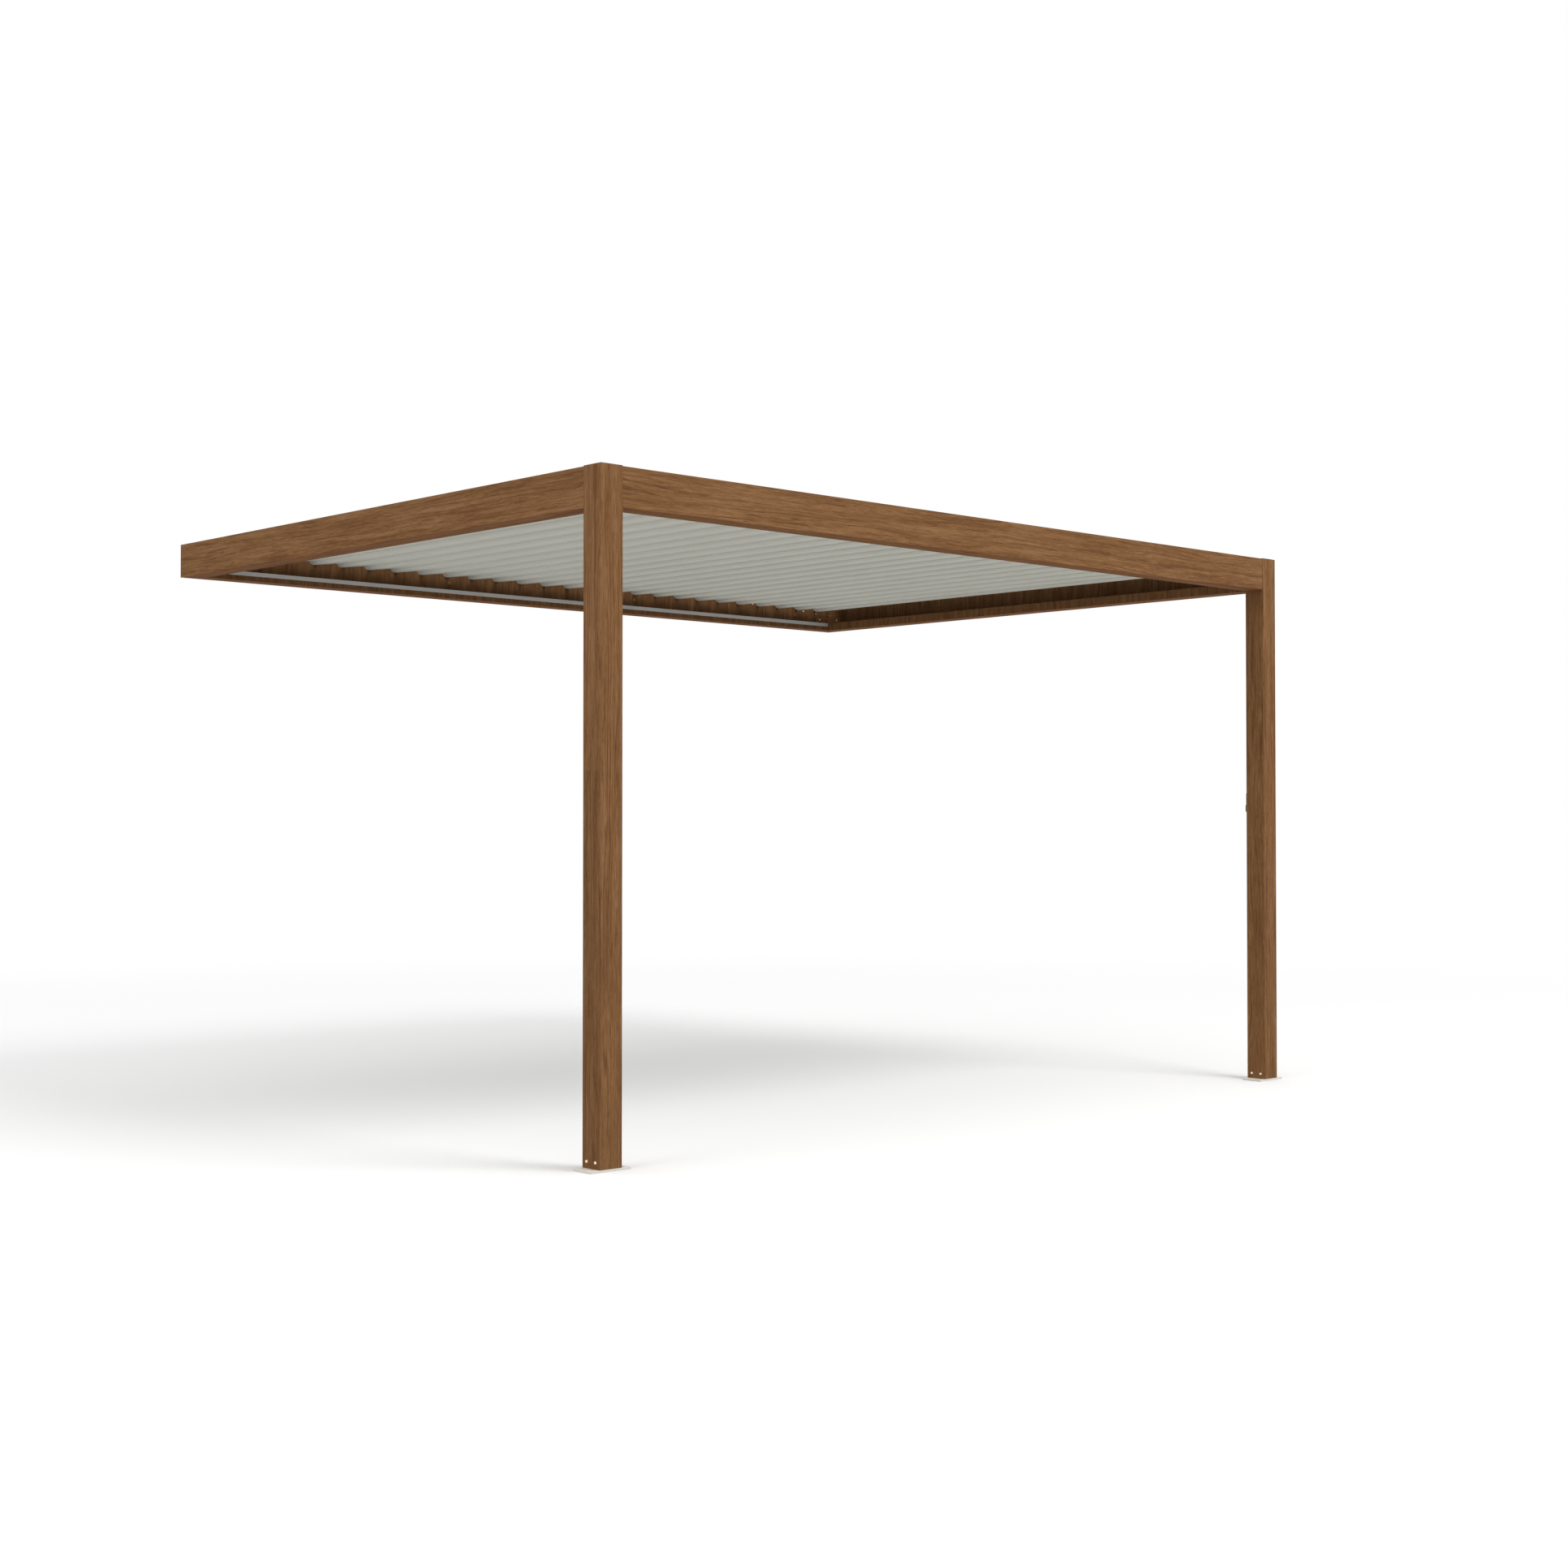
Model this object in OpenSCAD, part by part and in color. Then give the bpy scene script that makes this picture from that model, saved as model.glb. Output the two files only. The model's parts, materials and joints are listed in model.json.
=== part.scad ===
/* [Frame] */
// Overall width along the wall, over the posts
overall_w = 4145; // [3200:5:5600]
// Projection from the wall to the front of the posts
projection = 3090; // [2400:5:4000]
// Length of a post, from the top of its foot
post_h = 2500; // [2100:5:3000]
// Side of the square post
post_side = 100; // [80:1:130]
// Wall thickness of the post tube
post_wall = 2.5; // [2:0.1:4]
// How far the posts stand up past the beams, which is also the thickness of their lids
post_rise = 2; // [1:0.5:6]

/* [Gutter beams] */
// Height of a beam
beam_h = 150; // [130:1:200]
// Width of a beam across its gutter
beam_w = 92; // [70:1:120]
// Wall thickness of a beam
beam_wall = 3; // [2:0.1:5]
// Height of the gutter's inner lip
lip_h = 42; // [30:1:60]
// Width of the return along the top of a beam's web
return_w = 9; // [5:0.5:10]
// Radius of the extrusions' outer edges
edge_r = 1.5; // [0.5:0.5:3]
// Diameter of the outlets from the front gutter into the posts
outlet_d = 50; // [40:1:60]

/* [Light strip] */
// Height of the light strip along the top of the wall beam's lip
strip_h = 19; // [10:0.5:28]
// Thickness of the light strip
strip_t = 1.5; // [1:0.1:2]

/* [Blades] */
// Largest distance from one blade's pivot to the next
pitch_max = 151.5; // [120:0.1:170]
// Rise of a closed blade from its nose to its tail, in degrees
closed_tilt = 7.8; // [5:0.1:12]
// Radius of the rounded nose under the rain trough
nose_r = 35; // [25:1:45]
// Thickness of a blade at its thickest
blade_t = 22; // [16:0.5:30]
// Thickness of a blade at its tail
tail_t = 8; // [6:0.5:12]
// Wall thickness of a blade
blade_wall = 1.8; // [1.2:0.1:3]
// Width of the rain trough along the nose
trough_w = 26; // [18:1:34]
// How far a tail reaches over the next blade's trough
overlap = 17; // [8:1:22]
// Gap between a tail and the trough that it covers
blade_gap = 5; // [3:0.5:8]
// Gap between a blade's end and the outer face of the beam
end_gap = 60; // [40:1:80]
// Gap between the first nose and the left beam's web
nose_gap = 30; // [10:0.5:50]
// Gap between the last tail and the right beam's web
tail_gap = 8; // [6:0.5:20]
// Height of the closed blades' noses above the beams' underside
nose_height = 107; // [95:0.5:115]
// Thickness of a blade's end cap
end_cap_t = 3; // [2:0.5:6]

/* [Pivots and drive] */
// Distance of the pivot from the nose's tangent line
pivot_u = 40; // [25:1:60]
// Diameter of a pivot pin
pivot_d = 12; // [8:0.5:16]
// Running clearance of a pin in its bushing, on the radius
pin_clearance = 0.2; // [0.1:0.05:0.5]
// Length of the crank arms that the drive bar pushes
crank_r = 40; // [35:1:50]
// Height of the drive bar
bar_h = 20; // [14:1:24]
// Thickness of the drive bar
bar_t = 5; // [3:0.5:8]
// Diameter of a crank pin
crank_pin_d = 8; // [6:0.5:10]

/* [Feet and fixings] */
// Thickness of a foot plate
foot_t = 8; // [6:0.5:15]
// How far a foot plate reaches past the post on each side
foot_flange = 40; // [30:1:60]
// Diameter of the anchor holes in a foot plate
anchor_d = 11; // [8:0.5:16]
// Height of the spigot inside the post
spigot_h = 60; // [40:1:100]
// Wall thickness of the spigot
spigot_wall = 4; // [3:0.5:6]
// Slack between the spigot and the post, on each side
spigot_slack = 0.25; // [0.1:0.05:1]
// Height of the clamping screws above the foot plate
screw_z = 24; // [15:1:35]
// Distance between the two clamping screws of a side
screw_spacing = 50; // [30:1:60]
// Diameter of the clamping screw holes
screw_d = 8; // [5:0.5:10]
// Diameter of the wall fixing holes
wall_hole_d = 11; // [8:0.5:14]

/* [Hidden] */

// Levels, with zero at half the height of the wall beam
beam_top = beam_h / 2;
beam_low = -beam_h / 2;
post_top = beam_top + post_rise;
post_low = post_top - post_h;
ground = post_low - foot_t;

// Lines on plan: the wall is at y = 0 and the posts stand at -y
post_face = overall_w / 2;
side_face = post_face - post_wall;
front_face = projection - post_wall;
side_web = side_face - beam_wall;
side_lip = side_face - beam_w;

// Blade section: u runs from the nose to the tail, w is square to the blade's underside
row_length = 2 * side_web - nose_gap - tail_gap - overlap * cos(closed_tilt) + blade_gap * sin(closed_tilt);
blade_count = ceil(row_length / pitch_max);
blade_pitch = row_length / blade_count;
tail_u = blade_pitch * cos(closed_tilt) - trough_w + overlap;
trough_right = 10;
trough_top = blade_pitch * sin(closed_tilt) - blade_gap;
nose_end = min(asin(trough_w / nose_r), acos(1 - trough_top / nose_r));
nose_left = nose_r * sin(nose_end);
peak_u = 50;
rib_u = 78;
tail_edge = 2;
crown_steps = 11;
crown_end = 10;
pivot_w = 10;
blade_len = projection - post_wall - 2 * end_gap;
blade_front = end_gap + blade_len;
tail_reach = (tail_u - pivot_u) * cos(closed_tilt) + pivot_w * sin(closed_tilt);
last_pivot_x = side_web - tail_gap - tail_reach;
pivot_z = beam_low + nose_height + pivot_u * sin(closed_tilt) + pivot_w * cos(closed_tilt);
vent_w = 8;
vent_h = 4;

// Pivot pins, bushings, cranks and the drive bar
pin_end_play = 1;
pin_grip = 30;
bushing_flange_d = 24;
bushing_flange_t = 3;
bushing_d = 20;
bushing_l = 15;
bushing_floor = 2;
bore_d = pivot_d + 2 * pin_clearance;
pin_l = end_gap - beam_wall - bushing_floor - pin_end_play;
crank_angle = 225;
crank_t = 4;
crank_hub_d = 22;
crank_eye_d = 18;
crank_arm_w = 14;
bar_standoff = 2;
bar_overhang = 14;
bar_hole_d = crank_pin_d + 2 * pin_clearance;
crank_front = blade_front + crank_t + bar_standoff + bar_t + pin_end_play;
crank_dx = crank_r * cos(crank_angle);
crank_dz = crank_r * sin(crank_angle);

// Brackets, feet and fixings
bracket_leg = 100;
bracket_h = 32;
bracket_t = 3;
bracket_z = 50;
bracket_hole_d = 7;
bracket_hole_at = 72;
spigot_side = post_side - 2 * post_wall - 2 * spigot_slack;
post_screw_d = screw_d + 1;
anchor_x = post_side / 2 + foot_flange / 2;
anchor_y = 30;
wall_hole_step = 10 * round(0.029 * overall_w);
wall_hole_x = [wall_hole_step / 2, 1.5 * wall_hole_step];
wall_hole_z = [-50, 10];
outlet_wall = 2;
outlet_l = 30;
drain_d = 40;
drain_z = 100;
cap_skirt_h = 8;
cap_skirt_t = 2;
cap_slack = 0.5;
strip_end_gap = 1;

// Control on the right post
switch_z = 1280;
switch_w = 26;
switch_plate_h = 90;
switch_plate_t = 5;
switch_knob_h = 35;
switch_knob_w = 20;
switch_knob_t = 7;
switch_knob_r = 6;
switch_bevel = 1.5;
switch_inset = 5;

wood = [0.45, 0.29, 0.18];
pale = [0.86, 0.86, 0.82];
nylon = [0.27, 0.19, 0.13];
cream = [0.85, 0.84, 0.79];
steel = [0.62, 0.63, 0.65];

function blade_name(i) = str("blade_", i < 10 ? "0" : "", i);
function pivot_x(i) = last_pivot_x - (blade_count - i) * blade_pitch;
function top_w(u) = blade_t - (blade_t - tail_t) * pow((u - peak_u) / (tail_u - peak_u), 2);

// Draws a flat section that stands in the X-Z plane, from the depth y_from back to y_to
module across(y_from, y_to) {
    translate([0, -y_from, 0]) rotate([90, 0, 0]) linear_extrude(y_to - y_from) children();
}

// Points of a rounded corner about its centre, turning a quarter from the angle a
function corner(x, y, a) = [for (k = [0:3]) [x + edge_r * cos(a + 30 * k), y + edge_r * sin(a + 30 * k)]];

// Gutter beam section: a full web with a top return on the outside, a floor and a low lip inside
module gutter_section() {
    polygon(concat(
        corner(edge_r, beam_h - edge_r, 90),
        corner(edge_r, edge_r, 180),
        corner(beam_w - edge_r, edge_r, 270),
        [
            [beam_w, lip_h],
            [beam_w - beam_wall, lip_h],
            [beam_w - beam_wall, beam_wall],
            [beam_wall, beam_wall],
            [beam_wall, beam_h - beam_wall],
            [return_w, beam_h - beam_wall],
            [return_w, beam_h]
        ]));
}

// Ways for the rain through a gutter's lip, from the two side gutters that end at it
module side_gutter_ways() {
    for (side = [-1, 1])
        translate([side * (side_face - beam_w / 2), 0, beam_low + lip_h / 2 + beam_wall])
            cube([beam_w - 2 * beam_wall, 2 * beam_wall + 2, lip_h], center = true);
}

// Gutter beam along +X, its outer face at y = 0 and its lip towards +y
module gutter_beam(length) {
    translate([-length / 2, 0, beam_low])
        rotate([90, 0, 90]) linear_extrude(length) gutter_section();
}

module wall_beam() {
    color(wood) difference() {
        mirror([0, 1, 0]) gutter_beam(2 * side_web);
        for (x = wall_hole_x, side = [-1, 1], z = wall_hole_z)
            translate([side * x, 1, z])
                rotate([90, 0, 0]) cylinder(d = wall_hole_d, h = beam_wall + 2, $fn = 32);
        translate([-side_lip, -beam_w - 1, beam_low + lip_h - strip_h])
            cube([2 * side_lip, strip_t + 1, strip_h + 1]);
        translate([0, -beam_w + beam_wall / 2, 0]) side_gutter_ways();
    }
}

// Places its children on the axes of both posts
module at_posts(level) {
    for (side = [-1, 1])
        translate([side * (post_face - post_side / 2), -projection + post_side / 2, level]) children();
}

module front_beam() {
    color(wood) difference() {
        union() {
            translate([0, -front_face, 0]) gutter_beam(2 * side_face);
            at_posts(beam_low - outlet_l)
                cylinder(d = outlet_d + 2 * outlet_wall, h = outlet_l + beam_wall / 2, $fn = 48);
        }
        at_posts(beam_low - outlet_l - 1)
            cylinder(d = outlet_d, h = outlet_l + beam_wall + 2, $fn = 48);
        translate([0, -front_face + beam_w - beam_wall / 2, 0]) side_gutter_ways();
    }
}

module side_beam(side) {
    length = front_face - 2 * beam_w;
    color(wood) translate([side * side_face, -beam_w - length / 2, 0])
        rotate([0, 0, side > 0 ? 90 : -90]) gutter_beam(length);
}

module end_cap(side) {
    color(wood) translate([side > 0 ? side_web : -side_face, -beam_w, beam_low])
        cube([beam_wall, beam_w, beam_h]);
}

module light_strip() {
    length = 2 * (side_lip - strip_end_gap);
    color(pale) translate([-length / 2, -beam_w, beam_low + lip_h - strip_h])
        cube([length, strip_t, strip_h]);
}

// Post tube with its outer corner at the origin, the inner walls of its head cut away
// so that the two gutters meet inside it
module post_tube() {
    inner = post_side - 2 * post_wall;
    far = post_side - edge_r;
    difference() {
        linear_extrude(post_h) polygon(concat(
            corner(far, far, 0),
            corner(edge_r, far, 90),
            corner(edge_r, edge_r, 180),
            corner(far, edge_r, 270)));
        translate([post_wall, post_wall, -1]) cube([inner, inner, post_h + 2]);
        translate([post_wall, post_wall, beam_low - post_low])
            cube([post_side, post_side, post_h]);
        for (s = [-1, 1])
            translate([-1, post_side / 2 + s * screw_spacing / 2, screw_z])
                rotate([0, 90, 0]) cylinder(d = post_screw_d, h = post_side + 2, $fn = 32);
        translate([post_side / 2, post_side / 2, drain_z])
            rotate([-90, 0, 0]) cylinder(d = drain_d, h = post_side, $fn = 48);
    }
}

module post(side) {
    color(wood) translate([side * post_face, -projection, post_low])
        mirror([side > 0 ? 1 : 0, 0, 0]) post_tube();
}

module foot(side) {
    plate_l = post_side + 2 * foot_flange;
    color(cream) translate([side * (post_face - post_side / 2), -projection + post_side / 2, ground])
        difference() {
            union() {
                translate([-plate_l / 2, -post_side / 2, 0]) cube([plate_l, post_side, foot_t]);
                translate([-spigot_side / 2, -spigot_side / 2, foot_t])
                    cube([spigot_side, spigot_side, spigot_h]);
            }
            translate([-spigot_side / 2 + spigot_wall, -spigot_side / 2 + spigot_wall, foot_t])
                cube([spigot_side - 2 * spigot_wall, spigot_side - 2 * spigot_wall, spigot_h + 1]);
            for (sx = [-1, 1], sy = [-1, 1])
                translate([sx * anchor_x, sy * anchor_y, -1])
                    cylinder(d = anchor_d, h = foot_t + 2, $fn = 32);
            for (s = [-1, 1])
                translate([-post_side, s * screw_spacing / 2, foot_t + screw_z])
                    rotate([0, 90, 0]) cylinder(d = screw_d, h = 2 * post_side, $fn = 32);
        }
}

// Lid over the end of the front gutter, between the outer walls of a post's head
module post_cap() {
    width = post_side - post_wall;
    depth = front_face - crank_front - blade_gap;
    skirt = return_w + cap_slack;
    cube([width, depth, post_rise]);
    translate([skirt, skirt, -cap_skirt_h]) {
        cube([width - 2 * skirt, cap_skirt_t, cap_skirt_h + post_rise / 2]);
        cube([cap_skirt_t, depth - 2 * skirt, cap_skirt_h + post_rise / 2]);
    }
}

module post_caps() {
    color(wood) for (side = [-1, 1])
        translate([side * side_face, -front_face, beam_top]) mirror([side > 0 ? 1 : 0, 0, 0]) post_cap();
}

// Angle that ties the webs of two beams together, its corner at the origin
module corner_bracket() {
    difference() {
        union() {
            cube([bracket_leg, bracket_t, bracket_h]);
            cube([bracket_t, bracket_leg, bracket_h]);
        }
        translate([bracket_hole_at, -1, bracket_h / 2])
            rotate([-90, 0, 0]) cylinder(d = bracket_hole_d, h = bracket_t + 2, $fn = 32);
        translate([-1, bracket_hole_at, bracket_h / 2])
            rotate([0, 90, 0]) cylinder(d = bracket_hole_d, h = bracket_t + 2, $fn = 32);
    }
}

module corner_brackets() {
    color(wood) for (side = [-1, 1]) {
        translate([side * side_web, -front_face + beam_wall, beam_low + bracket_z])
            mirror([side > 0 ? 1 : 0, 0, 0]) corner_bracket();
        translate([side * side_web, -beam_wall, beam_low + bracket_z])
            mirror([side > 0 ? 1 : 0, 0, 0]) mirror([0, 1, 0]) corner_bracket();
    }
}

// Flanged cup that holds a pivot pin, standing on the x-z plane and opening to -y
module bushing() {
    rotate([90, 0, 0]) difference() {
        union() {
            cylinder(d = bushing_flange_d, h = bushing_flange_t, $fn = 48);
            cylinder(d = bushing_d, h = bushing_l, $fn = 48);
        }
        translate([0, 0, bushing_floor]) cylinder(d = bore_d, h = bushing_l, $fn = 48);
    }
}

module wall_bushings() {
    color(nylon) for (i = [1:blade_count])
        translate([pivot_x(i), -beam_wall, pivot_z]) bushing();
}

module front_bushings() {
    color(nylon) for (i = [1:blade_count])
        translate([pivot_x(i), -front_face + beam_wall, pivot_z]) mirror([0, 1, 0]) bushing();
}

// Whole outline of a blade: rounded nose, flat underside, square tail, crowned top
module blade_outline() {
    nose = [for (a = [-nose_end:nose_end / 8:0]) [nose_r * sin(a), nose_r * (1 - cos(a))]];
    tail = [
        [tail_u - tail_edge, 0],
        [tail_u, tail_edge],
        [tail_u, top_w(tail_u) - tail_edge],
        [tail_u - tail_edge, top_w(tail_u - tail_edge)]
    ];
    crown = [for (k = [crown_steps:-1:0])
        let (u = trough_right + k * (tail_u - crown_end - trough_right) / crown_steps) [u, top_w(u)]];
    polygon(concat([[-nose_left, trough_top]], nose, tail, crown, [[trough_right, trough_top]]));
}

// Open rain trough along the nose
module trough_cut() {
    inner_r = nose_r - blade_wall;
    left = nose_left - blade_wall;
    end = asin(left / inner_r);
    floor_arc = [for (a = [-end:end / 8:0]) [inner_r * sin(a), nose_r - inner_r * cos(a)]];
    polygon(concat(
        [[-left, blade_t]],
        floor_arc,
        [[trough_right - blade_wall, blade_wall], [trough_right - blade_wall, blade_t]]));
}

// Hollow cell between two webs of the blade
module cell_cut(from, to) {
    steps = ceil(crown_steps / 2);
    crown = [for (k = [steps:-1:0]) let (u = from + k * (to - from) / steps) [u, top_w(u) - blade_wall]];
    polygon(concat([[from, blade_wall], [to, blade_wall]], crown));
}

module blade_cap_section() {
    difference() {
        blade_outline();
        trough_cut();
        translate([rib_u - 2 * vent_w, blade_wall]) square([vent_w, vent_h]);
        translate([rib_u + vent_w, blade_wall]) square([vent_w, vent_h]);
    }
}

module blade_section() {
    difference() {
        blade_outline();
        trough_cut();
        cell_cut(trough_right, rib_u - blade_wall / 2);
        cell_cut(rib_u + blade_wall / 2, tail_u - 2 * tail_edge);
    }
}

// Crank plate from the pivot to the eye that carries the drive bar
module crank_section() {
    circle(d = crank_hub_d, $fn = 48);
    rotate(crank_angle) translate([0, -crank_arm_w / 2]) square([crank_r, crank_arm_w]);
    translate([crank_dx, crank_dz]) circle(d = crank_eye_d, $fn = 48);
}

module blade(i) {
    color(pale) translate([pivot_x(i), 0, pivot_z]) {
        rotate([0, -closed_tilt, 0]) translate([-pivot_u, 0, -pivot_w]) {
            across(end_gap + end_cap_t, blade_front - end_cap_t) blade_section();
            across(end_gap, end_gap + end_cap_t) blade_cap_section();
            across(blade_front - end_cap_t, blade_front) blade_cap_section();
        }
        across(end_gap - pin_l, end_gap + pin_grip) circle(d = pivot_d, $fn = 48);
        across(blade_front - pin_grip, blade_front + pin_l) circle(d = pivot_d, $fn = 48);
        across(blade_front - end_cap_t / 2, blade_front + crank_t) crank_section();
        across(blade_front, crank_front)
            translate([crank_dx, crank_dz]) circle(d = crank_pin_d, $fn = 32);
    }
}

module drive_bar() {
    y_from = blade_front + crank_t + bar_standoff;
    length = (blade_count - 1) * blade_pitch + 2 * bar_overhang;
    color(steel) across(y_from, y_from + bar_t) difference() {
        translate([pivot_x(1) + crank_dx - bar_overhang, pivot_z + crank_dz - bar_h / 2])
            square([length, bar_h]);
        for (i = [1:blade_count])
            translate([pivot_x(i) + crank_dx, pivot_z + crank_dz]) circle(d = bar_hole_d, $fn = 48);
    }
}

module switch_plate() {
    color(wood)
        translate([post_face - post_side + switch_inset, post_side - projection, post_low + switch_z])
            cube([switch_w, switch_plate_t, switch_plate_h]);
}

// Knob with rounded ends and a bevelled front, standing off the plate
module switch_knob() {
    color(cream) translate([
        post_face - post_side + switch_inset + switch_w / 2,
        post_side - projection + switch_plate_t,
        post_low + switch_z + switch_knob_h / 2
    ]) rotate([-90, 0, 0]) {
        linear_extrude(switch_knob_t - switch_bevel) knob_outline(0);
        linear_extrude(switch_knob_t) knob_outline(switch_bevel);
    }
}

module knob_outline(inset) {
    x = switch_knob_w / 2 - switch_knob_r;
    z = switch_knob_h / 2 - switch_knob_r;
    r = switch_knob_r - inset;
    polygon([for (q = [[x, z, 0], [-x, z, 90], [-x, -z, 180], [x, -z, 270]], k = [0:4])
        [q[0] + r * cos(q[2] + 22.5 * k), q[1] + r * sin(q[2] + 22.5 * k)]]);
}

wall_beam();
front_beam();
side_beam(-1);  // left_beam
side_beam(1);  // right_beam
post(-1);  // left_post
post(1);  // right_post
foot(-1);  // left_foot
foot(1);  // right_foot
end_cap(-1);  // left_end_cap
end_cap(1);  // right_end_cap
post_caps();
light_strip();
wall_bushings();
front_bushings();
corner_brackets();
drive_bar();
switch_plate();
switch_knob();
for (i = [1:blade_count])
    blade(i);
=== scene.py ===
import json
import math
import bpy
import bmesh
from mathutils import Matrix, Vector


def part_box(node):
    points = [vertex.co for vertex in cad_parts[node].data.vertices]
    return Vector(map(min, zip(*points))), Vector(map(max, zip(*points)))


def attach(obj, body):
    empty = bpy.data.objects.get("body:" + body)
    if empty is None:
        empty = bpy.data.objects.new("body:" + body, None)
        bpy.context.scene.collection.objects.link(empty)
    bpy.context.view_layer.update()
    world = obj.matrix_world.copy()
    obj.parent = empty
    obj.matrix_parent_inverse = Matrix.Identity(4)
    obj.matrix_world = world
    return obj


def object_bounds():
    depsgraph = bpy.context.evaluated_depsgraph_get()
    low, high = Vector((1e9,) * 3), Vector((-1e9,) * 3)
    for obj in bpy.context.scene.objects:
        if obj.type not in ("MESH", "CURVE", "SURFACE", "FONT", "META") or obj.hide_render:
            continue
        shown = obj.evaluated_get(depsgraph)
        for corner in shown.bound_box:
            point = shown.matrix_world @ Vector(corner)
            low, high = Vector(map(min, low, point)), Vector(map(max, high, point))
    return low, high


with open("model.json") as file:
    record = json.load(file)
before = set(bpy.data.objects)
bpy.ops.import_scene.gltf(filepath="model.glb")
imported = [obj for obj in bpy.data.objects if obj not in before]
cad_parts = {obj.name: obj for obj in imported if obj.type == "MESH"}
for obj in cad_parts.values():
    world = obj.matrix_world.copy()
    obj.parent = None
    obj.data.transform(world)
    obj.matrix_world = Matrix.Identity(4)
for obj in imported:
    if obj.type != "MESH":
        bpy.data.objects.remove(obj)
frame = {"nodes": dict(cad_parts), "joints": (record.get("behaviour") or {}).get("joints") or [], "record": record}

cad_box = [list(corner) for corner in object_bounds()]


# ---- Standpoint -------------------------------------------------------------
# A person standing out to the left of the pergola, eyes 1.2 m above the terrace,
# with a 50 mm lens. Upright edges stay nearly upright.
EYE_POINT = (-6.856, -9.138, -1.211)
EYE_TURN_DEG = (91.106, 0.0, -43.16)
LENS_MM, SENSOR_MM = 50.0, 36.0
NEAREST, FARTHEST = 0.1, 400.0

eye = bpy.data.cameras.new("standpoint")
eye.lens = LENS_MM
eye.sensor_width = SENSOR_MM
eye.clip_start, eye.clip_end = NEAREST, FARTHEST
eye_object = bpy.data.objects.new("standpoint", eye)
eye_object.location = EYE_POINT
eye_object.rotation_euler = [math.radians(turn) for turn in EYE_TURN_DEG]
bpy.context.collection.objects.link(eye_object)
bpy.context.scene.camera = eye_object


# ---- Studio floor -----------------------------------------------------------
# A wide pale floor at the underside of the foot plates. It is matt, so it keeps a
# soft shadow and throws light up under the roof.
FLOOR_RADIUS, FLOOR_SIDES = 120.0, 96
FLOOR_GAP = 0.0005          # below the foot plates, so that the faces don't share a plane
ROOF_MIDDLE_Y = -1.5
FLOOR_THROWS, FLOOR_LOOKS = "#bdbdbb", "#f2f2f2"
RUN_OUT_FROM, RUN_OUT_TO = 4.0, 11.0        # metres from the middle of the roof


def linear(hex_code):
    """An sRGB hex colour as the linear colour that a shader takes."""
    parts = [int(hex_code[k:k + 2], 16) / 255 for k in (1, 3, 5)]
    return tuple(c / 12.92 if c <= 0.04045 else ((c + 0.055) / 1.055) ** 2.4 for c in parts) + (1.0,)


def put(tree, kind, settings=None, **inputs):
    """Adds a node: settings are its own options, inputs are values or the sockets to link."""
    node = tree.nodes.new(kind)
    for name, value in (settings or {}).items():
        setattr(node, name, value)
    for name, value in inputs.items():
        socket = node.inputs[int(name[1:]) if name[0] == "_" else name]
        if isinstance(value, bpy.types.NodeSocket):
            tree.links.new(value, socket)
        else:
            socket.default_value = value
    return node


def new_material(name):
    """An empty material and its node tree."""
    material = bpy.data.materials.new(name)
    material.use_nodes = True
    material.node_tree.nodes.clear()
    return material, material.node_tree


def looked_at(tree):
    """1 where a surface is seen, straight or in gloss and glass, and 0 where it only throws light."""
    seen = put(tree, "ShaderNodeLightPath")
    mirrored = put(tree, "ShaderNodeMath", {"operation": "MAXIMUM"},
                   _0=seen.outputs["Is Camera Ray"], _1=seen.outputs["Is Glossy Ray"])
    return put(tree, "ShaderNodeMath", {"operation": "MAXIMUM"},
               _0=mirrored.outputs[0], _1=seen.outputs["Is Transmission Ray"]).outputs[0]


floor_paint, tree = new_material("pale_studio_floor")
where = put(tree, "ShaderNodeTexCoord")
distance = put(tree, "ShaderNodeVectorMath", {"operation": "LENGTH"}, _0=where.outputs["Object"])
tone = put(tree, "ShaderNodeMix", {"data_type": "RGBA"}, _0=looked_at(tree),
           _6=linear(FLOOR_THROWS), _7=linear(FLOOR_LOOKS))
matt = put(tree, "ShaderNodeBsdfDiffuse", Color=tone.outputs[2])
# away from the pergola the floor runs out into the white surround
run_out = put(tree, "ShaderNodeMapRange", {"interpolation_type": "SMOOTHSTEP"},
              Value=distance.outputs["Value"], _1=RUN_OUT_FROM, _2=RUN_OUT_TO)
shown = put(tree, "ShaderNodeMath", {"operation": "MULTIPLY"}, _0=run_out.outputs[0], _1=looked_at(tree))
plain_white = put(tree, "ShaderNodeEmission", Color=(1.0, 1.0, 1.0, 1.0), Strength=1.0)
ground = put(tree, "ShaderNodeMixShader", _0=shown.outputs[0], _1=matt.outputs[0], _2=plain_white.outputs[0])
put(tree, "ShaderNodeOutputMaterial", Surface=ground.outputs[0])

mesh = bpy.data.meshes.new("studio_floor")
shape = bmesh.new()
bmesh.ops.create_circle(shape, cap_ends=True, segments=FLOOR_SIDES, radius=FLOOR_RADIUS)
shape.to_mesh(mesh)
shape.free()
floor = bpy.data.objects.new("studio_floor", mesh)
floor.location = (0.0, ROOF_MIDDLE_Y, cad_box[0][2] - FLOOR_GAP)
mesh.materials.append(floor_paint)
bpy.context.collection.objects.link(floor)


# ---- Studio light -----------------------------------------------------------
# A white surround, as in a photo tent, that throws most of its light from above and less
# from behind, where the wall would be, with a large soft box high at the front and a
# weaker one at the left.
LEVEL_LIGHT, OVERHEAD_LIGHT = 0.50, 1.08    # thrown from the horizon, and from 45 degrees up
REAR_SHARE = 0.8            # of that, what comes from behind
LAMP_AIM = (0.0, ROOF_MIDDLE_Y, -0.5)

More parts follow.
